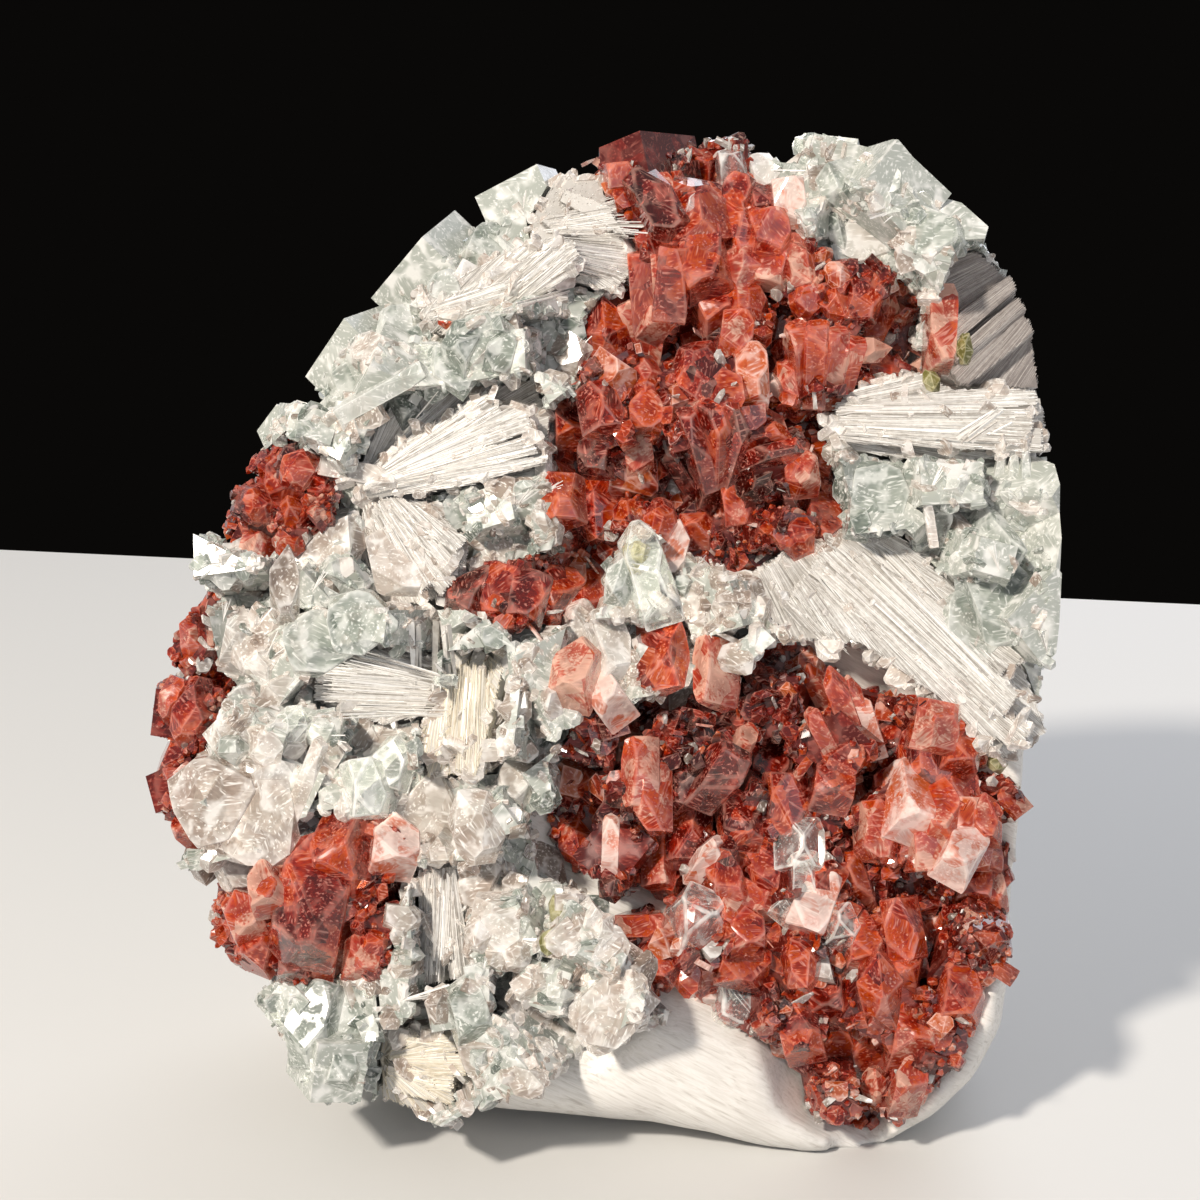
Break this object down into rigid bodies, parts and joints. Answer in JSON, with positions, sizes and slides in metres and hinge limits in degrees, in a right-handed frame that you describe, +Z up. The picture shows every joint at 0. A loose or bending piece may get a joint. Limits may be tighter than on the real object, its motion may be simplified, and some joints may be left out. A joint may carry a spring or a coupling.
{
  "type": "scolecite on apophyllite specimen",
  "caption": "Free-standing mineral slab: white scolecite sprays over pale and red blocky apophyllite crystals in two hollows, polished foot, flat cut base.",
  "frame": {"origin": "centre of the base: the middle of the bounding box, on the surface that the specimen stands on", "axes": "+Z up, -Y out of the crystal face, which leans back by 16 degrees, +X to the right as seen from the front"},
  "size_m": [0.1586, 0.0935, 0.1744],
  "materials": {
    "massive_zeolite": "polished",
    "red_apophyllite": "glossy",
    "green_apophyllite": "glossy",
    "clear_apophyllite": "glossy",
    "scolecite": "silky"
  },
  "bodies": {
    "root": {"centre_druse": "clear_apophyllite", "corner_fibres": "scolecite", "cream_mass": "scolecite", "crown_spray": "scolecite", "diagonal_bundle": "scolecite", "foot_cluster": "scolecite", "green_ball": "green_apophyllite", "left_clear_druse": "clear_apophyllite", "left_edge_red": "red_apophyllite", "left_fan": "scolecite", "left_pocket_red": "red_apophyllite", "level_bundle": "scolecite", "lower_bundle": "scolecite", "lower_clear_druse": "clear_apophyllite", "lower_left_red": "red_apophyllite", "lower_red_crust": "red_apophyllite", "matrix": "massive_zeolite", "middle_fan": "scolecite", "middle_ridge": "clear_apophyllite", "palm_spray": "scolecite", "right_druse": "green_apophyllite", "top_right_druse": "green_apophyllite", "upper_left_druse": "green_apophyllite", "upper_red_crust": "red_apophyllite", "upper_spray": "scolecite"}
  },
  "joints": []
}
